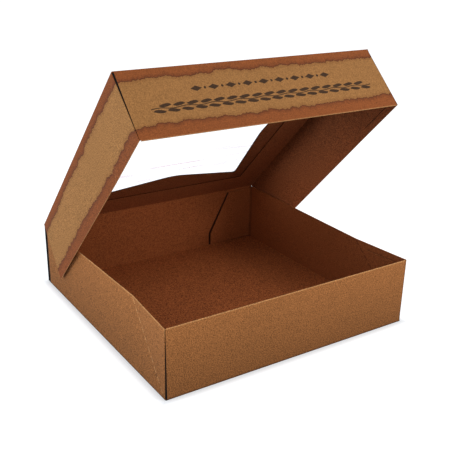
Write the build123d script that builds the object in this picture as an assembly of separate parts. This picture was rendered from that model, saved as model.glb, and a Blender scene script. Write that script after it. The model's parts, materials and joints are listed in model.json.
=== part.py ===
from build123d import *
import os
from math import sqrt

# A one-piece pie box of kraft paperboard, in millimetres, +Z up, origin at the middle of the underside.
# The front wall faces -Y. The lid hangs on a scored line along the top of the back wall and stands open.

# Board and folds
board = 0.45              # thickness of the paperboard
corner_radius = 1.2       # outer radius of the upright folds at the corners
base_fold_radius = 0.7    # outer radius of the folds around the bottom and around the lid's top
fold_land = 0.4           # straight board between such a fold and the panel that rises from it

# Tray
tray_width = 253.0
tray_depth = 254.0
tray_height = 63.5
tray_crease_draw = 4.8    # how far the side wall's rim is drawn in where the diagonal crease meets it
tray_middle_draw = 2.6    # the same, halfway from the crease to the back corner
back_end_reach = 0.7      # how far the back wall's raw ends stand out past the side walls

# Lid
lid_side_height = 62.0
lid_side_clearance = 0.35     # between the lid's inner corner flaps and the tray
lid_front_clearance = 0.4     # between the lid's front panel and the tray's front wall
lid_rim_clearance = 0.3       # between the tray's rim and the underside of the shut lid
lid_crease_draw = 0.3         # inward draw of the side panel's free edge at its diagonal crease
lid_rear_flare = 1.8          # outward flare of the side panel's free edge at its rear corner
lid_corner_step = 0.4         # the side panels' free edges stop short of the front panel's
lid_open_angle = 45.3

# Scored hinge line
hinge_clearance = 0.1         # between the rounded top of the back wall and the lid's rear edge
hinge_relief = 0.3            # from the hinge line to the raw rear edges of the lid's side panels
corner_bore = 0.65            # radius cut out of the lid's side folds, around the back wall's ends

# Glued corner flaps
front_flap_rim_gap = 7.0      # from the rim down to the front flaps' free edge
front_flap_crease_gap = 5.0   # between the front flaps' slanting edge and the diagonal crease
flap_nose = 0.5               # from the panel's ends to the ends of a front flap's fold
back_flap_width = 57.0        # along the bottom
back_flap_top_width = 32.0    # along the top
back_flap_shoulder = 15.0     # height of the upright part of its free edge
back_flap_rim_gap = 2.8
back_flap_glued = 14.0        # from the fold to where the flap springs away from the back wall
back_flap_spring = 1.6        # how far its free edge stands off the back wall
crack_top_gap = 0.3           # opening left at the rim between a side wall's raw end and the front wall

# Window
window_margin = 45.5          # from the hinge and from the lid's front fold to the window's corners
window_side_margin = 46.2     # from the lid's sides to the window's corners
window_end_peak = 16.0        # how far the window's front and rear edges come in at their middles
window_side_peak = 7.8
window_corner_radius = 3.0
window_peak_radius = 60.0     # rounding of the edges' middles
film_thickness = 0.1
film_overlap = 15.0           # film glued down beyond the window's corners

# Cuts run past the faces that they open by this much
overrun = 1.0

# Where these sizes put the main lines
strip_height = base_fold_radius + fold_land
hinge_y = tray_depth / 2 - board / 2
hinge_z = tray_height + lid_rim_clearance + board / 2
hinge_bore = board / 2 + hinge_clearance
lid_width = tray_width + 2 * (2 * board + lid_side_clearance)
lid_front_y = -tray_depth / 2 - lid_front_clearance - board
lid_top_z = hinge_z + board / 2


def slab(points, shift):
    """A flat panel: the outline through the points, thickened along the vector."""
    return Solid.extrude(Face(Wire.make_polygon([Vector(*p) for p in points], close=True)), Vector(*shift))


def plate(x_range, y_range, z_range):
    """A box between two values on each axis."""
    size = [high - low for low, high in (x_range, y_range, z_range)]
    middle = [(low + high) / 2 for low, high in (x_range, y_range, z_range)]
    return Pos(*middle) * Box(*size)


def folded_base(width, front, rear):
    """A bottom panel whose four edges are folded up into low strips."""
    depth = rear - front
    middle = Pos(0, (front + rear) / 2, 0)
    outer = extrude(RectangleRounded(width, depth, corner_radius), strip_height)
    outer = fillet(outer.faces().sort_by(Axis.Z)[0].edges(), base_fold_radius)
    hollow = extrude(RectangleRounded(width - 2 * board, depth - 2 * board, corner_radius - board),
                     strip_height + overrun)
    hollow = fillet(hollow.faces().sort_by(Axis.Z)[0].edges(), base_fold_radius - board)
    return middle * (outer - Pos(0, 0, board) * hollow)


def upright_fold(corner, start_angle, low, high):
    """A quarter turn of board around an upright line at the corner's centre of bend."""
    outer = CenterArc((0, 0), corner_radius, start_angle, 90)
    inner = CenterArc((0, 0), corner_radius - board, start_angle, 90)
    section = make_face([outer, Line(outer @ 1, inner @ 1), inner, Line(inner @ 0, outer @ 0)])
    return Pos(*corner, low) * extrude(section, high - low)


def side_wall(half_width, front, rear, top, crease_draw, middle_draw, rear_draw):
    """The wall on the -X side: a flat triangle ahead of the diagonal crease and a sprung panel behind it.

    The crease climbs at 45 degrees from the bottom front corner to the rim. The draws say how far the
    rim lies inside the straight bottom fold at the crease, halfway behind it and at the rear end.
    """
    face_x = -half_width
    run = top - strip_height
    crease_y = front + run
    rim = Spline((face_x + crease_draw, crease_y), (face_x + middle_draw, (crease_y + rear) / 2),
                 (face_x + rear_draw, rear))
    inner_rim = Pos(board, 0, 0) * rim
    rim_face = make_face([rim, Line(rim @ 1, inner_rim @ 1), inner_rim, Line(inner_rim @ 0, rim @ 0)])
    foot_face = make_face(Polyline((face_x, front), (face_x, rear), (face_x + board, rear),
                                   (face_x + board, front), close=True))
    sprung = loft([Pos(0, 0, strip_height) * foot_face, Pos(0, 0, top) * rim_face], ruled=True)
    triangle = slab([(face_x, front, strip_height), (face_x, front, top),
                     (face_x + crease_draw, crease_y, top)], (board, 0, 0))
    raw_end = slab([(face_x, front, strip_height), (face_x, front, top),
                    (face_x, front - corner_radius + crack_top_gap, top)], (board, 0, 0))
    return sprung + triangle + raw_end


def front_flap(half_width, front, top, crease_draw):
    """The front wall's glue flap on the -X side, lying on the inside of the side wall's triangle."""
    run = top - strip_height
    slope = crease_draw / run
    face_x = -half_width + board
    flap_top = top - front_flap_rim_gap
    reach = run - front_flap_rim_gap - front_flap_crease_gap * sqrt(2)
    outline = [(0, strip_height + flap_nose), (0, top - flap_nose),
               (front_flap_rim_gap - flap_nose, flap_top), (reach, flap_top)]
    return slab([(face_x + slope * y, front + y, z) for y, z in outline], (board, 0, 0))


def folded_pan(width, front, rear, side_rear, height, side_height, draws):
    """Bottom, front wall, both side walls and the front corner flaps, folded up and glued."""
    half_width = width / 2
    bend_y = front + corner_radius
    front_half = half_width - board - corner_radius
    pan = folded_base(width, front, rear)
    pan += plate((-front_half, front_half), (front, front + board), (strip_height, height))
    fold = upright_fold((-front_half, bend_y), 180, strip_height + flap_nose, side_height - flap_nose)
    wall = side_wall(half_width, bend_y, side_rear, side_height, *draws)
    side = fold + wall + front_flap(half_width, bend_y, side_height, draws[0])
    return pan + side + mirror(side, about=Plane.YZ)


def back_corner():
    """The -X side wall's glue flap, folded round the back corner and glued inside the back wall."""
    flap_y = tray_depth / 2 - 2 * board
    fold_x = -tray_width / 2 + corner_radius
    edge_x = -tray_width / 2
    flap_top = tray_height - back_flap_rim_gap
    fold = upright_fold((fold_x, tray_depth / 2 - board - corner_radius), 90, strip_height, flap_top)
    bend_x = fold_x + back_flap_glued
    slope = back_flap_spring / (edge_x + back_flap_width - bend_x)
    glued = slab([(fold_x, flap_y, strip_height), (bend_x, flap_y, strip_height),
                  (bend_x, flap_y, flap_top), (fold_x, flap_y, flap_top)], (0, board, 0))
    free_edge = [(edge_x + back_flap_width, strip_height), (edge_x + back_flap_width, back_flap_shoulder),
                 (edge_x + back_flap_top_width, flap_top)]
    outline = [(bend_x, strip_height), *free_edge, (bend_x, flap_top)]
    sprung = slab([(x, flap_y - slope * (x - bend_x), z) for x, z in outline], (0, board, 0))
    return fold + glued + sprung


def back_wall():
    """The back wall, with a rounded top that the lid turns on and that is as wide as the lid."""
    half_length = tray_width / 2 + back_end_reach
    wall = plate((-half_length, half_length), (tray_depth / 2 - board, tray_depth / 2),
                 (strip_height, hinge_z))
    bead = Pos(0, hinge_y, hinge_z) * Rot(0, 90, 0) * Cylinder(board / 2, lid_width)
    return wall + bead


def window_outline(width, depth):
    """The window: four edges that come in to a soft peak at their middles, centred on the origin."""
    x, y = width / 2, depth / 2
    peak_x, peak_y = x - window_side_peak, y - window_end_peak
    face = make_face(Polyline((-x, -y), (0, -peak_y), (x, -y), (peak_x, 0), (x, y), (0, peak_y), (-x, y),
                              (-peak_x, 0), close=True))
    nearest_first = face.vertices().sort_by_distance((0, 0))
    face = fillet(nearest_first[4:], window_corner_radius)
    return fillet(face.vertices().sort_by_distance((0, 0))[:4], window_peak_radius)


tray_rear = tray_depth / 2 - board - corner_radius
tray = folded_pan(tray_width, -tray_depth / 2, tray_depth / 2, tray_rear, tray_height, tray_height,
                  (tray_crease_draw, tray_middle_draw, 0))
back_flaps = back_corner()
tray = tray + back_wall() + back_flaps + mirror(back_flaps, about=Plane.YZ)

# The lid is folded upside down, like the tray, then turned over on to the tray and opened
lid_depth = hinge_y - lid_front_y
lid_middle_draw = (lid_crease_draw - lid_rear_flare) / 2
lid_pan = folded_pan(lid_width, lid_front_y, hinge_y + 2 * corner_radius, hinge_y - hinge_relief,
                     lid_side_height, lid_side_height - lid_corner_step,
                     (lid_crease_draw, lid_middle_draw, -lid_rear_flare))
window_width = lid_width - 2 * window_side_margin
window_depth = lid_depth - 2 * window_margin
window_y = (hinge_y + lid_front_y) / 2
window_cut = extrude(Pos(0, window_y, 0) * window_outline(window_width, window_depth), board, both=True)
lid_shut = Pos(0, 0, lid_top_z) * Rot(0, 180, 0) * (lid_pan - window_cut)
half_cut = lid_width / 2 + overrun
rear_end = hinge_y + 2 * corner_radius + overrun
rear_span = (lid_top_z - strip_height - overrun, lid_top_z + overrun)
rear_cut = plate((-half_cut, half_cut), (hinge_y, rear_end), rear_span)
fold_x = lid_width / 2 - base_fold_radius
relief = Rot(0, 90, 0) * Cylinder(corner_bore, half_cut - fold_x)
relief = Pos((fold_x + half_cut) / 2, hinge_y, hinge_z) * relief
bore = Pos(0, hinge_y, hinge_z) * Rot(0, 90, 0) * Cylinder(hinge_bore, 2 * half_cut)
lid_shut = lid_shut - rear_cut - bore - relief - mirror(relief, about=Plane.YZ)
film_half_width = window_width / 2 + film_overlap
film_half_depth = window_depth / 2 + film_overlap
film_top = hinge_z - board / 2
film_shut = plate((-film_half_width, film_half_width), (window_y - film_half_depth, window_y + film_half_depth),
                  (film_top - film_thickness, film_top))

hinge = Axis((0, hinge_y, hinge_z), (1, 0, 0))
nodes = {
    "tray": tray,
    "lid": lid_shut.rotate(hinge, -lid_open_angle),
    "window_film": film_shut.rotate(hinge, -lid_open_angle),
}

os.makedirs("parts", exist_ok=True)
for name, solid in nodes.items():
    solid.label = name
    export_step(solid, f"parts/{name}.step")
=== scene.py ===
"""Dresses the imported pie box: a printed kraft lid, a plain kraft tray and a clear window film.

Lengths are in millimetres unless a name ends in _m. Blender's own units are metres.
"""

import json
import logging
import math
from dataclasses import dataclass
from enum import Enum
from typing import Any, Union

import bpy
from mathutils import Matrix, Vector


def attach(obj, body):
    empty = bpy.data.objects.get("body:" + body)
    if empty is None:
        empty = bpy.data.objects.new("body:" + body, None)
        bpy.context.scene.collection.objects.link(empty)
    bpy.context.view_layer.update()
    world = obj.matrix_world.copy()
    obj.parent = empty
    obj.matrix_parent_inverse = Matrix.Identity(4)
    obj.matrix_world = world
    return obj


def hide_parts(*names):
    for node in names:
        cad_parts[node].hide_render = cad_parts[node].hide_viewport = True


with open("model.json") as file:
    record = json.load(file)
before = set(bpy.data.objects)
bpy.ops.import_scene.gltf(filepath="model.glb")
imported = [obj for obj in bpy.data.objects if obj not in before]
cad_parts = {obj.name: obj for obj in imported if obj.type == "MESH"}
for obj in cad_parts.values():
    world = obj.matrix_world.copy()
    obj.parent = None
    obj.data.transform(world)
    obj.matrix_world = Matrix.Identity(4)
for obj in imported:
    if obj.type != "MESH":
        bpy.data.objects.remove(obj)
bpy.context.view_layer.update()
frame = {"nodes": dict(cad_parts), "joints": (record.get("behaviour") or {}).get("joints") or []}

log = logging.getLogger("pie_box")

MM = 0.001
PICTURE_SIDE = 450

# A face looks along an axis where that part of its normal is above this
FACING = 0.7
# Half widths of the smooth edges of printed and shaded areas, in millimetres
CRISP = 0.1
SOFT = 0.3
# Share of the board's thickness past which the face of a raw end is over
PAST_END = 0.95
# The Mix node's colour sockets, by number, because its other sockets share their names
MIX_FIRST, MIX_SECOND, MIX_RESULT = 6, 7, 2

Colour = tuple[float, float, float, float]
Term = Union["Value", float, tuple]


def screen_colour(red: int, green: int, blue: int) -> Colour:
    """Turns an 8-bit screen colour into the linear colour that a shader takes.

    Args:
        red: Red level, 0 to 255.
        green: Green level, 0 to 255.
        blue: Blue level, 0 to 255.

    Returns:
        The linear colour with full opacity.
    """

    def linear(level: int) -> float:
        """Undoes the screen's gamma on one channel."""
        share = level / 255
        return share / 12.92 if share <= 0.04045 else ((share + 0.055) / 1.055) ** 2.4

    return (linear(red), linear(green), linear(blue), 1.0)


class Axis(Enum):
    """One component of a vector socket."""

    X = "X"
    Y = "Y"
    Z = "Z"


class Value:
    """A socket in a finish's node tree that takes part in Python arithmetic."""

    def __init__(self, graph: "Graph", socket: bpy.types.NodeSocket) -> None:
        """Keeps the tree and the socket together."""
        self.graph = graph
        self.socket = socket

    def __add__(self, other: Term) -> "Value":
        """Adds a number or another value."""
        return self.graph.maths("ADD", self, other)

    __radd__ = __add__

    def __sub__(self, other: Term) -> "Value":
        """Takes a number or another value away."""
        return self.graph.maths("SUBTRACT", self, other)

    def __rsub__(self, other: Term) -> "Value":
        """Takes this value away from a number."""
        return self.graph.maths("SUBTRACT", other, self)

    def __mul__(self, other: Term) -> "Value":
        """Multiplies by a number or another value."""
        return self.graph.maths("MULTIPLY", self, other)

    __rmul__ = __mul__

    def __truediv__(self, other: Term) -> "Value":
        """Divides by a number or another value."""
        return self.graph.maths("DIVIDE", self, other)

    def __abs__(self) -> "Value":
        """The value without its sign."""
        return self.graph.maths("ABSOLUTE", self)

    def least(self, other: Term) -> "Value":
        """The smaller of this and another value."""
        return self.graph.maths("MINIMUM", self, other)

    def most(self, other: Term) -> "Value":
        """The larger of this and another value."""
        return self.graph.maths("MAXIMUM", self, other)

    def repeat(self, period: float) -> "Value":
        """Distance past the last whole period, centred on zero."""
        return self.graph.maths("WRAP", self, period / 2, -period / 2)

    def above(self, limit: float, soft: float = 0.0) -> "Value":
        """A mask that is 1 above a limit.

        Args:
            limit: Where the mask turns on.
            soft: Half the width of a smooth edge, or 0 for a hard one.

        Returns:
            The mask, from 0 to 1.
        """
        if not soft:
            return self.graph.maths("GREATER_THAN", self, limit)
        return self.graph.node(
            "ShaderNodeMapRange",
            {"interpolation_type": "SMOOTHSTEP"},
            {"Value": self, "From Min": limit - soft, "From Max": limit + soft},
        )

    def below(self, limit: float, soft: float = 0.0) -> "Value":
        """A mask that is 1 below a limit, as above() is 1 over it."""
        return 1 - self.above(limit, soft)

    def part(self, axis: Axis) -> "Value":
        """One component of this vector."""
        return self.graph.node("ShaderNodeSeparateXYZ", {}, {"Vector": self}, axis.value)


class Graph:
    """The node tree of a material or of the sky, with its shader."""

    def __init__(self, owner: bpy.types.ID, shader: str = "Principled BSDF") -> None:
        """Opens a new owner's node tree.

        Args:
            owner: The material or world that the tree belongs to.
            shader: Name of the shader node that Blender puts in a new tree.
        """
        owner.use_nodes = True
        self.owner = owner
        self.tree = owner.node_tree
        self.shader = self.tree.nodes[shader]

    def feed(self, socket: bpy.types.NodeSocket, term: Any) -> None:
        """Links a value to a socket, or sets the socket's own number, colour or vector."""
        if isinstance(term, Value):
            self.tree.links.new(term.socket, socket)
        else:
            socket.default_value = term

    def node(self, kind: str, settings: dict[str, Any], sockets: dict[Any, Any], out: Any = 0) -> Value:
        """Adds one node.

        Args:
            kind: Blender's name for the type of node.
            settings: The node's own options, set before its sockets.
            sockets: The values or links of its inputs, by name or number.
            out: Which output to hand back.

        Returns:
            The chosen output.
        """
        made = self.tree.nodes.new(kind)
        for name, setting in settings.items():
            setattr(made, name, setting)
        for key, term in sockets.items():
            self.feed(made.inputs[key], term)
        return Value(self, made.outputs[out])

    def maths(self, operation: str, *terms: Term) -> Value:
        """Adds a Math node on one to three terms."""
        return self.node("ShaderNodeMath", {"operation": operation}, dict(enumerate(terms)))

    def vectors(self, operation: str, *terms: Term, out: Any = 0) -> Value:
        """Adds a Vector Math node on its first terms."""
        return self.node("ShaderNodeVectorMath", {"operation": operation}, dict(enumerate(terms)), out)

    def scaled(self, vector: Any, share: Term) -> Value:
        """A vector or colour times a number."""
        sockets = {"Vector": vector, "Scale": share}
        return self.node("ShaderNodeVectorMath", {"operation": "SCALE"}, sockets)

    def position(self) -> Value:
        """The place on the piece, in millimetres."""
        return self.scaled(self.node("ShaderNodeTexCoord", {}, {}, "Object"), 1 / MM)

    def normal(self) -> Value:
        """The way that the surface faces."""
        return self.node("ShaderNodeTexCoord", {}, {}, "Normal")

    def facing_out(self, place: Value, normal: Value, middle: tuple[float, float, float]) -> Value:
        """A mask of the faces that look away from a point inside the piece."""
        spoke = self.vectors("SUBTRACT", place, middle)
        return self.vectors("DOT_PRODUCT", spoke, normal, out="Value").above(0)

    def combine(self, x: Term, y: Term, z: Term) -> Value:
        """A vector from three components."""
        return self.node("ShaderNodeCombineXYZ", {}, {"X": x, "Y": y, "Z": z})

    def noise(self, where: Value, size: float, detail: float = 2.0, roughness: float = 0.5) -> Value:
        """Cloudy noise from 0 to 1.

        Args:
            where: The place that the noise is read at, in millimetres.
            size: Width of its largest clouds, in millimetres.
            detail: Number of finer layers.
            roughness: Strength of each finer layer.

        Returns:
            The noise, with 0.5 in the middle.
        """
        return self.node(
            "ShaderNodeTexNoise",
            {"noise_dimensions": "3D"},
            {"Vector": where, "Scale": 1 / size, "Detail": detail, "Roughness": roughness},
            "Fac",
        )

    def mix(self, share: Term, first: Any, second: Any) -> Value:
        """A colour between two, by share of the second."""
        return self.node(
            "ShaderNodeMix",
            {"data_type": "RGBA"},
            {"Factor": share, MIX_FIRST: first, MIX_SECOND: second},
            MIX_RESULT,
        )

    def bump(self, height: Value, depth: float, strength: float) -> Value:
        """A surface normal raised by a height from 0 to 1, over a depth in millimetres."""
        return self.node(
            "ShaderNodeBump",
            {},
            {"Height": height, "Distance": depth * MM, "Strength": strength},
            "Normal",
        )

    def dress(self, **sockets: Any) -> bpy.types.ID:
        """Feeds the shader's sockets, named with _ for spaces, and hands the owner back."""
        for name, term in sockets.items():
            self.feed(self.shader.inputs[name.replace("_", " ")], term)
        return self.owner


@dataclass(frozen=True)
class Kraft:
    """Uncoated kraft board: fine grain, short fibres and soft clouds.

    Sizes are in millimetres, and each tone is how far its layer lightens or darkens the board.
    """

    outside: Colour = screen_colour(150, 97, 54)
    inside: Colour = screen_colour(147, 81, 43)
    # The lid's inside: the inside board painted darker, as shade
    shaded_lid_inside: Colour = screen_colour(136, 76, 43)
    raw_edge: Colour = screen_colour(196, 146, 95)
    # Near-black painted shade for gaps, folds, creases, the foot, flap edges and the window's edge
    painted_shade: Colour = screen_colour(4, 2, 1)
    grain: float = 0.9
    grain_roughness: float = 0.6
    fibre: float = 3.0
    fibre_tone: float = 0.2
    lengthwise: tuple[float, float, float] = (0.3, 1.5, 1.5)
    crosswise: tuple[float, float, float] = (1.5, 0.3, 0.8)
    cloud: float = 14.0
    cloud_tone: float = 0.05
    drift: float = 80.0
    drift_tone: float = 0.12
    roughness: float = 0.8
    shine: float = 0.14
    relief: float = 0.15
    relief_strength: float = 0.5
    fibre_relief: float = 0.4

    def fibre_noise(self, graph: Graph, place: Value) -> Value:
        """Short streaks that run both ways across the board."""
        lengthwise = graph.vectors("MULTIPLY", place, self.lengthwise)
        crosswise = graph.vectors("MULTIPLY", place, self.crosswise)
        return graph.noise(lengthwise, self.fibre) + graph.noise(crosswise, self.fibre) - 1

    def tone(self, graph: Graph, place: Value, speckle: Term) -> Value:
        """How much lighter or darker the board is at each place.

        Args:
            graph: The board's node tree.
            place: The place on the board, in millimetres.
            speckle: Strength of the finest grain.

        Returns:
            The tone, around 1.
        """
        grain = speckle * (graph.noise(place, self.grain, 1.0, self.grain_roughness) - 0.5)
        fibre = self.fibre_tone * self.fibre_noise(graph, place)
        cloud = self.cloud_tone * (graph.noise(place, self.cloud) - 0.5)
        drift = self.drift_tone * (graph.noise(place, self.drift, 1.0) - 0.5)
        return 1 + grain + fibre + cloud + drift

    def fibres(self, graph: Graph, place: Value) -> Value:
        """The board's fine relief, as a bumped normal."""
        grain = graph.noise(place, self.grain, 3.0, self.grain_roughness)
        height = grain + self.fibre_relief * self.fibre_noise(graph, place)
        return graph.bump(height, self.relief, self.relief_strength)

    def dress(self, graph: Graph, colour: Value, place: Value) -> bpy.types.Material:
        """Feeds the colour and the board's own roughness, shine and relief to the shader."""
        return graph.dress(
            Base_Color=colour,
            Roughness=self.roughness,
            Specular_IOR_Level=self.shine,
            Normal=self.fibres(graph, place),
        )


@dataclass(frozen=True)
class LidTurn:
    """Where the lid's hinge line is and how far it stands open."""

    hinge: Vector
    open_angle: float

    @classmethod
    def of_joint(cls, joint: dict[str, Any]) -> "LidTurn":
        """Reads the turn from the lid's joint, whose lower limit is the shut lid."""
        return cls(Vector(joint["pos_m"]) / MM, math.radians(-joint["range_deg"][0]))

    def matrix(self) -> Matrix:
        """Turns a place on the open lid back to where it is on the shut lid."""
        turn = Matrix.Rotation(self.open_angle, 4, "X")
        return Matrix.Translation(self.hinge) @ turn @ Matrix.Translation(-self.hinge)

    def shut_place(self, graph: Graph, place: Value) -> Value:
        """The place on the shut lid, in millimetres."""
        shift = self.matrix().to_translation()
        return graph.node(
            "ShaderNodeMapping",
            {"vector_type": "POINT"},
            {"Vector": place, "Location": shift, "Rotation": (self.open_angle, 0, 0)},
        )

    def shut_normal(self, graph: Graph) -> Value:
        """The way that the surface faces on the shut lid."""
        return graph.node(
            "ShaderNodeMapping",
            {"vector_type": "VECTOR"},
            {"Vector": graph.normal(), "Rotation": (self.open_angle, 0, 0)},
        )


@dataclass(frozen=True)
class GluedFlap:
    """The thin shadow beside a glued front corner flap's free edge, on the inside of a side wall."""

    rim_gap: float = 7.0
    reach: float = 47.0
    line: float = 0.9
    soft: float = 0.2

    def shadow(self, along: Value, from_rim: Value) -> Value:
        """Where the shadow lies.

        Args:
            along: Distance behind the front fold, in millimetres.
            from_rim: Distance from the wall's free edge, in millimetres.

        Returns:
            The mask, from 0 to 1.
        """
        beside = abs(from_rim - (self.rim_gap - self.line / 2)).below(self.line / 2, self.soft)
        return beside * along.above(self.rim_gap) * along.below(self.reach)


def dress_node(name: str, material: bpy.types.Material) -> None:
    """Gives a node of the part its material and leaves its mesh alone."""
    node = frame["nodes"][name]
    node.data.materials.clear()
    node.data.materials.append(material)
    log.info("%s dressed", name)


@dataclass
class Tray:
    """The folded tray: plain kraft outside and in, with pale rims and pressed diagonal creases.

    A tone lightens or darkens the board. A light and a dark are shares of the raw edge's colour and
    of the painted shade colour. A soft is half the width of a smooth edge, and a turn is part of a
    normal.
    """

    board: Kraft
    flap: GluedFlap
    half_width: float = 126.5
    half_depth: float = 127.0
    height: float = 63.5
    thickness: float = 0.45
    fold_radius: float = 1.2
    rim_depth: float = 2.0
    rim_light: float = 0.75
    rim_wear_and_highlight: float = 0.8
    wear_and_highlight: float = 0.6
    foot_shade: float = 1.4
    foot_soft: float = 0.8
    foot_dark: float = 0.55
    outside_speckle: float = 2.6
    inside_speckle: float = 1.9
    bottom_speckle: float = 3.3
    foot_tone: float = 0.78
    rim_tone: float = 1.22
    bottom_tone: float = 1.12
    rear_tone: float = 1.1
    near_tone: float = 0.72
    slit_at_foot: float = 0.95
    slit_narrowing: float = 0.6
    slit_past_fold: float = 0.1
    slit_turn: float = 0.5
    # Widths of the painted shade strips at the back corners
    back_shade_width: float = 1.2
    left_back_shade_width: float = 3.8
    end_share: float = 0.9
    end_depth: float = 0.4
    end_light: float = 0.5
    fold_shade: float = 1.9
    fold_soft: float = 0.6
    fold_dark: float = 0.3
    crease_width: float = 0.8
    crease_soft: float = 0.4
    crease_light: float = 0.55
    crease_dark: float = 0.5
    dash_period: float = 12.0
    dash_reach: float = 3.9
    flap_shadow: float = 0.35
    flap_foot: float = 57.0
    flap_top: float = 32.0
    flap_shoulder: float = 15.0
    flap_height: float = 60.7
    flap_gap: float = 1.4
    flap_soft: float = 0.2
    flap_turn: float = 0.3
    flap_dark: float = 0.85
    flap_spring: float = 5.0
    flap_edge: float = 0.3
    edge_turn: float = 0.4
    wall_skin: float = 0.585

    def from_side(self, x: Value) -> Value:
        """Distance in from the nearer side wall's outer face, in millimetres."""
        return self.half_width - abs(x)

    def behind_front(self, y: Value) -> Value:
        """Distance behind the front wall's fold, in millimetres."""
        return y + (self.half_depth - self.fold_radius)

    def crease(self, y: Value, z: Value) -> Value:
        """A dashed line that climbs at 45 degrees from each bottom front corner."""
        behind = self.behind_front(y)
        dash = abs((behind + z).repeat(self.dash_period)).below(self.dash_reach, SOFT)
        return abs(behind - z).below(self.crease_width, self.crease_soft) * dash

    def slit_shade(self, x: Value, y: Value, z: Value, normal: Value, outside: Value) -> Value:
        """Painted shade in the gaps by the raw ends at the four upright corners, wider towards the foot.
        """
        from_side = self.from_side(x)
        share = self.slit_at_foot - self.slit_narrowing / self.height * z
        opening = self.thickness + self.fold_radius * share
        front = (opening - from_side).above(0, CRISP) * from_side.above(PAST_END * self.thickness)
        front = front * self.behind_front(y).below(self.slit_past_fold)
        # A painted dark strip at the back corners, wider on the left, standing for shade
        gap = self.back_shade_width + (self.left_back_shade_width - self.back_shade_width) * x.below(0)
        back = (y + gap).above(self.half_depth - self.thickness)
        back = back * (from_side.below(self.fold_radius) * outside).most(from_side.below(0))
        return front.most(back * normal.part(Axis.Y).below(self.slit_turn))

    def raw_ends(self, x: Value, y: Value) -> Value:
        """The side walls' raw front ends."""
        end = self.from_side(x).below(self.end_share * self.thickness)
        return end * y.below(self.end_depth - self.half_depth)

    def back_corners(self, x: Value, y: Value) -> Value:
        """The shaded upright folds where the back flaps turn from the side walls."""
        beside = self.from_side(x).below(self.fold_shade, self.fold_soft)
        return beside * y.above(self.half_depth - 2 * self.fold_shade, self.fold_soft)

    def shading(self, y: Value, z: Value, normal: Value, outside: Value) -> Value:
        """Painted light and shade, as a tone that fades from the rim to the foot outside.

        Inside, the bottom is painted a little lighter, and the side walls darker towards the front
        flaps.
        """
        wall = self.foot_tone + (self.rim_tone - self.foot_tone) / self.height * z
        floor = normal.part(Axis.Z).above(FACING) * z.below(self.height / 2)
        bottom = 1 + (self.bottom_tone - 1) * floor
        share = 0.5 + y / (2 * self.half_depth)
        side = self.near_tone + (self.rear_tone - self.near_tone) * share
        inside = bottom + (side - bottom) * abs(normal.part(Axis.X)).above(FACING)
        return inside + (wall - inside) * outside

    def flap_outline(self, x: Value, y: Value, z: Value, normal: Value) -> Value:
        """Painted shade in the gap behind the free edges of the two back flaps, wider at the right one.
        """
        lean = (self.flap_foot - self.flap_top) / (self.flap_height - self.flap_shoulder)
        edge = self.flap_foot - lean * (z - self.flap_shoulder).most(0)
        past_edge = self.from_side(x) - edge
        wall = y.above(self.half_depth - self.wall_skin) * normal.part(Axis.Y).below(-self.flap_turn)
        behind = (past_edge - self.flap_gap * x.above(0)).below(0, self.flap_soft) * wall
        face = abs(past_edge).below(self.flap_edge) * y.above(self.half_depth - self.flap_spring)
        face = face * abs(normal.part(Axis.X)).above(self.edge_turn)
        return behind.most(face) * z.below(self.flap_height)

    def speckle(self, up: Value, outside: Value) -> Value:
        """Strength of the finest grain, which differs outside, on the inside walls and on the bottom."""
        inside = self.inside_speckle + (self.bottom_speckle - self.inside_speckle) * up
        return inside + (self.outside_speckle - inside) * outside

    def finish(self) -> bpy.types.Material:
        """Builds the tray's material."""
        board = self.board
        graph = Graph(bpy.data.materials.new("kraft_board"))
        place, normal = graph.position(), graph.normal()
        x, y, z = (place.part(axis) for axis in Axis)
        outside = graph.facing_out(place, normal, (0, 0, self.height / 2))
        inside = 1 - outside
        up = normal.part(Axis.Z).above(FACING)
        side = abs(normal.part(Axis.X)).above(FACING)
        crease = self.crease(y, z) * side
        flap = self.flap.shadow(self.behind_front(y), self.height - z) * side
        foot = z.below(self.foot_shade, self.foot_soft) * outside
        colour = graph.mix(outside, board.inside, board.outside)
        colour = graph.mix(self.crease_light * crease * outside, colour, board.raw_edge)
        # Painted shade in the pressed creases on the inside
        colour = graph.mix(self.crease_dark * crease * inside, colour, board.painted_shade)
        # Painted shadow beside the front flaps' free edges, on the inside
        colour = graph.mix(self.flap_shadow * flap * inside, colour, board.painted_shade)
        # Painted shade along the outside foot, where the wall meets the floor
        colour = graph.mix(self.foot_dark * foot, colour, board.painted_shade)
        # Rim tops: pale raw edge with a painted highlight at the front and left, painted shade elsewhere
        rim = up * z.above(self.height - self.rim_depth)
        highlit_rims = y.below(self.fold_radius - self.half_depth).most(x.below(0))
        # A paler band just under the outside rim: partly wear, partly a painted highlight
        worn_and_highlit = self.wear_and_highlight * z.above(self.height - self.rim_wear_and_highlight, SOFT) * outside
        ends = self.end_light * self.raw_ends(x, y)
        light = (self.rim_light * rim * highlit_rims).most(worn_and_highlit).most(ends)
        colour = graph.mix(rim * (1 - highlit_rims), colour, board.inside)
        colour = graph.mix(light, colour, board.raw_edge)
        # Painted shade in the gaps at the upright corners and along the back corners
        colour = graph.mix(self.slit_shade(x, y, z, normal, outside) * (1 - rim), colour, board.painted_shade)
        # Painted shade behind the back flaps' free edges
        colour = graph.mix(self.flap_dark * self.flap_outline(x, y, z, normal), colour, board.painted_shade)
        # Painted shade in the inside back corners
        colour = graph.mix(self.fold_dark * self.back_corners(x, y) * inside, colour, board.painted_shade)
        tone = board.tone(graph, place, self.speckle(up, outside))
        # Painted light and shade: the rim-to-foot fade outside, a lighter bottom and a darker front
        # inside
        tone = tone * self.shading(y, z, normal, outside)
        return board.dress(graph, graph.scaled(colour, tone), place)


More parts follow.
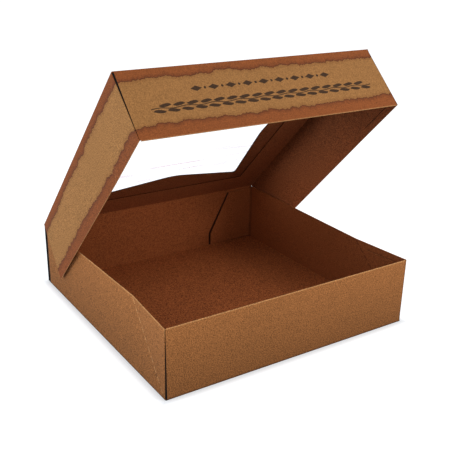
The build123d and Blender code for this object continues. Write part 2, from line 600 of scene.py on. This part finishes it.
@dataclass(frozen=True)
class TornBorder:
    """A tan field whose edges look torn, over a red-brown ground that it casts a soft shadow on."""

    field_colour: Colour = screen_colour(163, 115, 67)
    toned_field: Colour = screen_colour(139, 91, 50)
    ground: Colour = screen_colour(134, 74, 39)
    front_ground: Colour = screen_colour(146, 82, 43)
    shadow: Colour = screen_colour(82, 43, 31)
    top_strip: float = 9.5
    low_strip: float = 12.0
    wander: float = 7.0
    wander_size: float = 45.0
    tatter: float = 10.0
    tatter_size: float = 11.0
    tatter_detail: float = 4.0
    tatter_roughness: float = 0.7
    fray: float = 2.2
    fray_size: float = 2.2
    low_seed: float = 400.0
    edge_soft: float = 0.12
    line: float = 0.85
    line_soft: float = 0.35
    line_share: float = 0.85
    soft_shadow: float = 5.0
    shadow_share: float = 0.45
    toned_width: float = 4.0
    toned_share: float = 0.55

    def stray(self, graph: Graph, along: Value, seed: float) -> Value:
        """How far a torn edge strays from its straight line, in millimetres.

        Args:
            graph: The lid's node tree.
            along: The place along the edge, as a vector.
            seed: Shifts the noise, so that two edges differ.

        Returns:
            The stray, positive and negative.
        """
        where = graph.vectors("ADD", along, (seed, seed, seed))
        wander = graph.noise(where, self.wander_size, 1.0) - 0.5
        tatter = graph.noise(where, self.tatter_size, self.tatter_detail, self.tatter_roughness) - 0.5
        fray = graph.noise(where, self.fray_size, 1.0) - 0.5
        return self.wander * wander + self.tatter * tatter + self.fray * fray

    def colour(self, graph: Graph, inside: Value, front: Value) -> Value:
        """The printed colour.

        Args:
            graph: The lid's node tree.
            inside: How far the place lies inside the ground, in millimetres; below 0 is the field.
            front: A mask of the front panel, whose ground is lighter.

        Returns:
            The colour before grain.
        """
        toned = inside.above(-self.toned_width / 2, self.toned_width / 2)
        field_colour = graph.mix(self.toned_share * toned, self.field_colour, self.toned_field)
        ground = graph.mix(front, self.ground, self.front_ground)
        cast = self.shadow_share * inside.below(self.soft_shadow / 2, self.soft_shadow / 2)
        line = self.line_share * inside.below(self.line, self.line_soft)
        ground = graph.mix(cast.most(line), ground, self.shadow)
        return graph.mix(inside.above(0, self.edge_soft), field_colour, ground)


@dataclass(frozen=True)
class LeafyRule:
    """Dark ink on the lid's front panel: a leafy rule with a row of lozenges and dots above it."""

    ink: Colour = screen_colour(45, 33, 28)
    ink_share: float = 0.9
    leaf_period: float = 12.0
    leaf_length: float = 5.4
    leaf_width: float = 1.7
    leaf_rise: float = 2.5
    leaf_lean: float = 1.1
    leaf_soft: float = 0.12
    stem_width: float = 0.4
    stem_soft: float = 0.2
    stem_sway: float = 0.6
    rule_depth: float = 37.0
    rule_end: float = 103.0
    lozenge_period: float = 16.0
    lozenge_length: float = 5.2
    lozenge_height: float = 2.6
    lozenge_soft: float = 0.1
    dot_radius: float = 1.2
    dot_soft: float = 0.15
    lozenge_depth: float = 22.5
    lozenge_end: float = 72.0

    def leaf(self, x: Value, depth: Value, rise: float, lean: float, shift: float) -> Value:
        """One row of slanting leaves, whole up to the rule's ends."""
        down = depth - (self.rule_depth + rise)
        cell = (x + shift).repeat(self.leaf_period)
        across = cell + lean * down
        shape = 1 - across * across / self.leaf_length ** 2 - abs(down) / self.leaf_width
        return shape.above(0, self.leaf_soft) * abs(x - cell).below(self.rule_end)

    def lozenges(self, x: Value, depth: Value) -> Value:
        """The upper row: lozenges with a dot between each two."""
        down = abs(depth - self.lozenge_depth)
        cell = x.repeat(self.lozenge_period)
        lozenge = 1 - abs(cell) / self.lozenge_length - down / self.lozenge_height
        lozenge = lozenge.above(0, self.lozenge_soft) * abs(x - cell).below(self.lozenge_end)
        gap = (x + self.lozenge_period / 2).repeat(self.lozenge_period)
        dot = self.dot_radius ** 2 - gap * gap - down * down
        dot_end = self.lozenge_end - self.lozenge_period / 2
        return lozenge.most(dot.above(0, self.dot_soft) * abs(x - gap).below(dot_end))

    def mask(self, graph: Graph, x: Value, depth: Value) -> Value:
        """Where the ink lies on the front panel."""
        sway = graph.maths("SINE", x * (math.tau / (2 * self.leaf_period))) * self.stem_sway
        stem = abs(depth - self.rule_depth - sway).below(self.stem_width, self.stem_soft)
        stem = stem * abs(x).below(self.rule_end + self.leaf_period / 2)
        upper = self.leaf(x, depth, -self.leaf_rise, self.leaf_lean, 0)
        lower = self.leaf(x, depth, self.leaf_rise, -self.leaf_lean, self.leaf_period / 2)
        return stem.most(upper).most(lower).most(self.lozenges(x, depth))


@dataclass(frozen=True)
class WindowShape:
    """The lid's window on the shut lid: four edges that come in to a soft peak at their middles."""

    half_width: float = 81.55
    half_depth: float = 81.8
    side_peak: float = 7.8
    end_peak: float = 16.0
    middle: float = -0.54

    def within(self, x: Value, y: Value) -> Value:
        """How far a place lies within the window, in millimetres; below 0 is board."""
        along, across = abs(y - self.middle), abs(x)
        side = self.half_width - self.side_peak * (1 - along / self.half_depth) - across
        end = self.half_depth - self.end_peak * (1 - across / self.half_width) - along
        return side.least(end)


@dataclass
class Lid:
    """The folded lid: printed outside, plain kraft inside that is painted darker as shade.

    Places and normals are those of the shut lid, and depth is measured down from its outer face.
    A tone lightens or darkens the board. A light and a dark are shares of the raw edge's colour and
    of the painted shade colour.
    """

    board: Kraft
    border: TornBorder
    rule: LeafyRule
    window: WindowShape
    turn: LidTurn
    flap: GluedFlap
    side_height: float = 62.0
    corner_step: float = 0.4
    half_width: float = 127.75
    front: float = -127.85
    thickness: float = 0.45
    fold_radius: float = 1.2
    edge_depth: float = 3.0
    edge_wear_and_highlight: float = 0.7
    wear_and_highlight: float = 0.5
    slit_at_fold: float = 0.95
    slit_start: float = 1.0
    slit_reach: float = 85.0
    slit_past_fold: float = 0.1
    crease_width: float = 0.4
    crease_light: float = 0.22
    crease_dark: float = 0.45
    flap_shadow: float = 0.6
    window_shade_line: float = 1.0
    window_dark: float = 0.8
    outside_speckle: float = 2.3
    front_speckle: float = 1.2
    inside_speckle: float = 2.5
    front_shade_tone: float = 0.97
    fold_tone: float = 0.56
    free_tone: float = 1.36
    hinge_tone: float = 0.28

    @property
    def top(self) -> float:
        """Height of the shut lid's outer face."""
        return self.turn.hinge.z + self.thickness / 2

    def from_side(self, x: Value) -> Value:
        """Distance in from the nearer side panel's outer face, in millimetres."""
        return self.half_width - abs(x)

    def behind_front(self, y: Value) -> Value:
        """Distance behind the front panel's fold, in millimetres."""
        return y - (self.front + self.fold_radius)

    def inside_ground(self, graph: Graph, place: Value, normal: Value, depth: Value) -> Value:
        """How far a place lies inside the red-brown ground, in millimetres; below 0 is the field."""
        x, y = place.part(Axis.X), place.part(Axis.Y)
        along = graph.combine(x, y, 0)
        stray = self.border.stray(graph, along, 0)
        low_stray = self.border.stray(graph, along, self.border.low_seed)
        upper = self.border.top_strip + stray - depth
        lower = depth - (self.side_height - self.border.low_strip) + low_stray
        margin = self.border.top_strip + stray - self.from_side(x).least(y - self.front)
        top = normal.part(Axis.Z).above(FACING)
        return top * margin + (1 - top) * upper.most(lower)

    def painted_shade(self, x: Value, y: Value, depth: Value) -> Value:
        """Painted shade in the gap by the side panels' raw front ends, closing towards the free edge."""
        from_side = self.from_side(x)
        opening = self.thickness + self.fold_radius * self.slit_at_fold * (1 - depth / self.slit_reach)
        gap = (opening - from_side).above(0, CRISP) * from_side.above(PAST_END * self.thickness)
        return gap * self.behind_front(y).below(self.slit_past_fold) * depth.above(self.slit_start)

    def crease(self, y: Value, depth: Value) -> Value:
        """The pressed line that runs at 45 degrees from each front top corner of the side panels."""
        return abs(self.behind_front(y) - depth).below(self.crease_width, SOFT)

    def shading(self, y: Value, depth: Value) -> Value:
        """Painted shading of the side panels' insides, lighter towards the free edge and the hinge."""
        free = self.fold_tone + (self.free_tone - self.fold_tone) / self.side_height * depth
        return free + self.hinge_tone / self.half_width * y

    def speckle(self, front: Value, outside: Value) -> Value:
        """Strength of the finest grain, which differs inside, outside and on the front panel."""
        printed = self.outside_speckle + (self.front_speckle - self.outside_speckle) * front
        return self.inside_speckle + (printed - self.inside_speckle) * outside

    def finish(self) -> bpy.types.Material:
        """Builds the lid's material."""
        board = self.board
        graph = Graph(bpy.data.materials.new("printed_kraft_board"))
        open_place = graph.position()
        place, normal = self.turn.shut_place(graph, open_place), self.turn.shut_normal(graph)
        x, y, z = (place.part(axis) for axis in Axis)
        depth = self.top - z
        hollow = (0, (self.front + self.turn.hinge.y) / 2, self.top - self.side_height / 2)
        outside = graph.facing_out(place, normal, hollow)
        inside = 1 - outside
        front = normal.part(Axis.Y).below(-FACING)
        side = abs(normal.part(Axis.X)).above(FACING)
        crease = self.crease(y, depth) * side
        worn_and_highlit = depth.above(self.side_height - self.edge_wear_and_highlight, SOFT)
        ink = self.rule.ink_share * self.rule.mask(graph, x, depth) * front
        printed = self.border.colour(graph, self.inside_ground(graph, place, normal, depth), front)
        printed = graph.mix(ink, printed, self.rule.ink)
        printed = graph.mix(self.crease_light * crease, printed, board.raw_edge)
        # A paler band along the outside free edge: partly wear, partly a painted highlight
        printed = graph.mix(self.wear_and_highlight * worn_and_highlit, printed, board.raw_edge)
        from_rim = self.side_height - self.corner_step - depth
        flap = self.flap.shadow(self.behind_front(y), from_rim) * side
        # Painted shade in the creases and a painted shadow beside the flaps, on the inside
        plain = graph.mix(self.crease_dark * crease, board.shaded_lid_inside, board.painted_shade)
        plain = graph.mix(self.flap_shadow * flap, plain, board.painted_shade)
        raw = normal.part(Axis.Z).below(-FACING) * depth.above(self.side_height - self.edge_depth)
        # Painted shade: a dark line inside around the window's edge, and the front gaps outside
        window_shade_line = self.window.within(x, y).above(-self.window_shade_line, SOFT) * inside
        dark = (self.window_dark * window_shade_line).most(self.painted_shade(x, y, depth) * outside * (1 - raw))
        colour = graph.mix(outside, plain, printed)
        colour = graph.mix(raw, colour, board.raw_edge)
        colour = graph.mix(dark, colour, board.painted_shade)
        tone = board.tone(graph, open_place, self.speckle(front, outside))
        # Painted shade: the printed front panel a little darker
        tone = tone * (1 + (self.front_shade_tone - 1) * front * outside)
        # Painted light and shade on the side panels' insides
        tone = tone * (1 + (self.shading(y, depth) - 1) * side * inside)
        return board.dress(graph, graph.scaled(colour, tone), open_place)


@dataclass(frozen=True)
class ClearFilm:
    """Thin clear film: long faint streaks where it creases near the hinge, and a glued margin.

    The clear, glued, rim and streak values are opacities. The streaks also emit a painted reflection.
    """

    window: WindowShape
    haze_and_reflection: Colour = screen_colour(234, 190, 218)
    glue: Colour = screen_colour(36, 20, 13)
    black: Colour = (0.0, 0.0, 0.0, 1.0)
    half_width: float = 96.55
    half_depth: float = 96.8
    roughness: float = 0.1
    clear: float = 0.01
    glued: float = 0.05
    rim: float = 0.5
    rim_width: float = 1.6
    streak: float = 0.23
    streak_size: float = 7.0
    streak_level: float = 0.6
    streak_soft: float = 0.08
    streak_stretch: tuple[float, float, float] = (0.07, 1.0, 1.0)
    crease_start: float = 20.0
    crease_soft: float = 25.0
    painted_reflection: float = 0.5

    def material(self, turn: LidTurn) -> bpy.types.Material:
        """Builds the film's material."""
        graph = Graph(bpy.data.materials.new("clear_film"))
        place = turn.shut_place(graph, graph.position())
        stretched = graph.vectors("MULTIPLY", place, self.streak_stretch)
        streak = graph.noise(stretched, self.streak_size).above(self.streak_level, self.streak_soft)
        x, y = place.part(Axis.X), place.part(Axis.Y)
        open_part = self.window.within(x, y).above(0, SOFT)
        creased = streak * y.above(self.crease_start, self.crease_soft) * open_part
        from_rim = (self.half_width - abs(x)).least(self.half_depth - abs(y - self.window.middle))
        rim = from_rim.below(self.rim_width, SOFT)
        return graph.dress(
            Base_Color=graph.mix(open_part, self.glue, self.haze_and_reflection),
            Roughness=self.roughness,
            Alpha=self.clear + self.streak * creased + self.glued * (1 - open_part) + self.rim * rim,
            # The streaks emit the film's tint as a painted reflection
            Emission_Color=graph.mix(creased, self.black, self.haze_and_reflection),
            Emission_Strength=self.painted_reflection,
        )


@dataclass
class WindowFilm:
    """The clear film glued under the lid's window, slack enough to ripple."""

    finish: ClearFilm
    turn: LidTurn
    glued: float = 16.0
    slack: float = 12.0
    ripple: float = 0.9
    ripple_size: float = 45.0
    thickness: float = 0.06
    glue_gap: float = 0.02
    smooth_angle: float = 30.0
    cuts: int = 80

    def slack_group(self, film: bpy.types.Object, reach: Vector) -> str:
        """Weights the sheet from 0 on its glued margin to 1 where it hangs free.

        Args:
            film: The flat sheet, centred on the origin, in millimetres.
            reach: Half the sheet's sizes.

        Returns:
            The name of the vertex group.
        """
        group = film.vertex_groups.new(name="slack")
        for vertex in film.data.vertices:
            from_edge = min(reach.x - abs(vertex.co.x), reach.y - abs(vertex.co.y))
            weight = min(max((from_edge - self.glued) / self.slack, 0.0), 1.0)
            group.add([vertex.index], weight * weight * (3 - 2 * weight), "REPLACE")
        return group.name

    def modifier(self, film: bpy.types.Object, kind: str, **settings: Any) -> None:
        """Adds one modifier with its settings and applies it."""
        bpy.ops.object.modifier_add(type=kind)
        added = film.modifiers[-1]
        for name, setting in settings.items():
            setattr(added, name, setting)
        bpy.ops.object.modifier_apply(modifier=added.name)

    def build(self) -> bpy.types.Object:
        """Models the rippled sheet in the place of its solid.

        Returns:
            The finished film, riding on the lid.
        """
        to_shut = self.turn.matrix()
        corners = [to_shut @ (vertex.co / MM) for vertex in frame["nodes"]["window_film"].data.vertices]
        low = Vector(min(corner[i] for corner in corners) for i in range(3))
        high = Vector(max(corner[i] for corner in corners) for i in range(3))
        reach = (high - low) / 2
        middle = (high + low) / 2
        bpy.ops.object.select_all(action="DESELECT")
        bpy.ops.mesh.primitive_grid_add(x_subdivisions=self.cuts, y_subdivisions=self.cuts, size=2)
        film = bpy.context.object
        film.name = "film_sheet"
        film.data.transform(Matrix.Diagonal((reach.x, reach.y, 1, 1)))
        clouds = bpy.data.textures.new("film_ripples", "CLOUDS")
        clouds.noise_scale = self.ripple_size
        clouds.noise_depth = 1
        self.modifier(
            film, "DISPLACE", texture=clouds, strength=self.ripple, mid_level=1.0, direction="Z",
            vertex_group=self.slack_group(film, reach),
        )
        self.modifier(film, "SOLIDIFY", thickness=self.thickness, offset=-1.0)
        bpy.ops.object.shade_smooth_by_angle(angle=math.radians(self.smooth_angle))
        place = Matrix.Translation((middle.x, middle.y, high.z - self.glue_gap))
        film.data.transform(Matrix.Scale(MM, 4) @ to_shut.inverted() @ place)
        film.data.materials.append(self.finish.material(self.turn))
        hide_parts("window_film")
        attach(film, "lid")
        log.info("film sheet built")
        return film


@dataclass(frozen=True)
class PhotoCamera:
    """The camera at the place and angle of the photograph."""

    azimuth: float = -32.95
    elevation: float = 21.08
    roll: float = 0.852
    eye: tuple[float, float, float] = (-360.6, -569.74, 340.54)
    focal_pixels: float = 752.97
    sensor: float = 36.0

    def build(self) -> None:
        """Adds the camera and makes it the scene's own."""
        azimuth, elevation, roll = (math.radians(a) for a in (self.azimuth, self.elevation, self.roll))
        back = Vector((
            math.sin(azimuth) * math.cos(elevation),
            -math.cos(azimuth) * math.cos(elevation),
            math.sin(elevation),
        ))
        level = Vector((0, 0, 1)).cross(back).normalized()
        upright = back.cross(level)
        right = math.cos(roll) * level + math.sin(roll) * upright
        up = math.cos(roll) * upright - math.sin(roll) * level
        lens = bpy.data.cameras.new("photo_camera")
        lens.sensor_width = self.sensor
        lens.lens = self.focal_pixels / PICTURE_SIDE * self.sensor
        camera = bpy.data.objects.new("photo_camera", lens)
        turn = Matrix((right, up, back)).transposed().to_4x4()
        camera.matrix_world = Matrix.Translation(Vector(self.eye) * MM) @ turn
        bpy.context.scene.collection.objects.link(camera)
        bpy.context.scene.camera = camera


@dataclass(frozen=True)
class Lamp:
    """One soft square lamp, aimed at a point."""

    name: str
    place_m: tuple[float, float, float]
    aim_m: tuple[float, float, float]
    side_m: float
    watts: float
    hue: tuple[float, float, float]

    def build(self) -> None:
        """Adds the lamp."""
        light = bpy.data.lights.new(self.name, "AREA")
        light.size = self.side_m
        light.energy = self.watts
        light.color = self.hue
        lamp = bpy.data.objects.new(self.name, light)
        towards = Vector(self.aim_m) - Vector(self.place_m)
        lamp.rotation_euler = towards.to_track_quat("-Z", "Y").to_euler()
        lamp.location = self.place_m
        bpy.context.scene.collection.objects.link(lamp)


@dataclass(frozen=True)
class Studio:
    """A white sweep with soft light from above and in front."""

    floor_side_m: float = 40.0
    floor: Colour = (0.56, 0.6, 0.65, 1.0)
    white: Colour = (1.0, 1.0, 1.0, 1.0)
    floor_roughness: float = 0.9
    floor_glow: float = 0.72
    contact_shadow_dip: float = 0.32
    contact_reach: float = 8.5
    half_width: float = 126.5
    half_depth: float = 127.0
    sky: float = 0.68
    lamps: tuple[Lamp, ...] = (
        Lamp("key_lamp", (0.48, -0.68, 0.44), (0.0, -0.1, 0.05), 0.32, 2.35, (1.0, 0.95, 0.87)),
        Lamp("side_lamp", (-1.2, 0.1, 0.5), (0.0, 0.0, 0.08), 0.6, 3.4, (0.9, 0.96, 1.0)),
        Lamp("left_lamp", (-1.15, 0.4, 0.16), (0.0, 0.05, 0.06), 0.3, 1.6, (0.9, 0.96, 1.0)),
        Lamp("low_lamp", (-0.7, -1.4, 0.2), (0.0, 0.0, 0.12), 0.4, 1.15, (1.0, 0.98, 0.95)),
    )

    def seen(self, graph: Graph) -> Value:
        """A mask of the rays that look straight at the sweep, or by way of gloss or glass."""
        straight, gloss, glass = (
            graph.node("ShaderNodeLightPath", {}, {}, f"Is {kind} Ray")
            for kind in ("Camera", "Glossy", "Transmission")
        )
        return straight.most(gloss).most(glass)

    def build_floor(self) -> None:
        """Adds a white floor with a narrow shadow around the box's foot, partly cast and partly painted.
        """
        bpy.ops.object.select_all(action="DESELECT")
        bpy.ops.mesh.primitive_plane_add(size=self.floor_side_m)
        floor = bpy.context.object
        floor.name = "studio_floor"
        paper = Graph(bpy.data.materials.new("studio_floor_paper"))
        place = paper.position()
        aside = abs(place.part(Axis.X)) - self.half_width
        away = aside.most(abs(place.part(Axis.Y)) - self.half_depth)
        # A narrow painted shadow: the floor's emission dips near the box's foot
        painted_contact_shadow = away.below(self.contact_reach / 2, self.contact_reach / 2)
        material = paper.dress(
            Base_Color=self.floor,
            Roughness=self.floor_roughness,
            Specular_IOR_Level=0.0,
            Emission_Color=self.white,
            Emission_Strength=self.seen(paper) * (self.floor_glow - self.contact_shadow_dip * painted_contact_shadow),
        )
        floor.data.materials.append(material)

    def build_sky(self) -> None:
        """Lights the scene evenly, and shows white behind the floor."""
        world = bpy.data.worlds.new("studio_sky")
        bpy.context.scene.world = world
        graph = Graph(world, "Background")
        graph.dress(Color=self.white, Strength=self.sky + (1 - self.sky) * self.seen(graph))

    def build(self) -> None:
        """Adds the floor, the sky and the lamps."""
        self.build_floor()
        self.build_sky()
        for lamp in self.lamps:
            lamp.build()
        bpy.context.scene.view_settings.view_transform = "Standard"


def main() -> None:
    """Dresses the box, sets the stage and reports each piece."""
    logging.basicConfig(level=logging.INFO, format="%(name)s: %(message)s")
    board = Kraft()
    turn = LidTurn.of_joint(frame["joints"][0])
    flap = GluedFlap()
    window = WindowShape()
    dress_node("tray", Tray(board, flap).finish())
    dress_node("lid", Lid(board, TornBorder(), LeafyRule(), window, turn, flap).finish())
    WindowFilm(ClearFilm(window), turn).build()
    Studio().build()
    PhotoCamera().build()


if __name__ == "__main__":
    main()
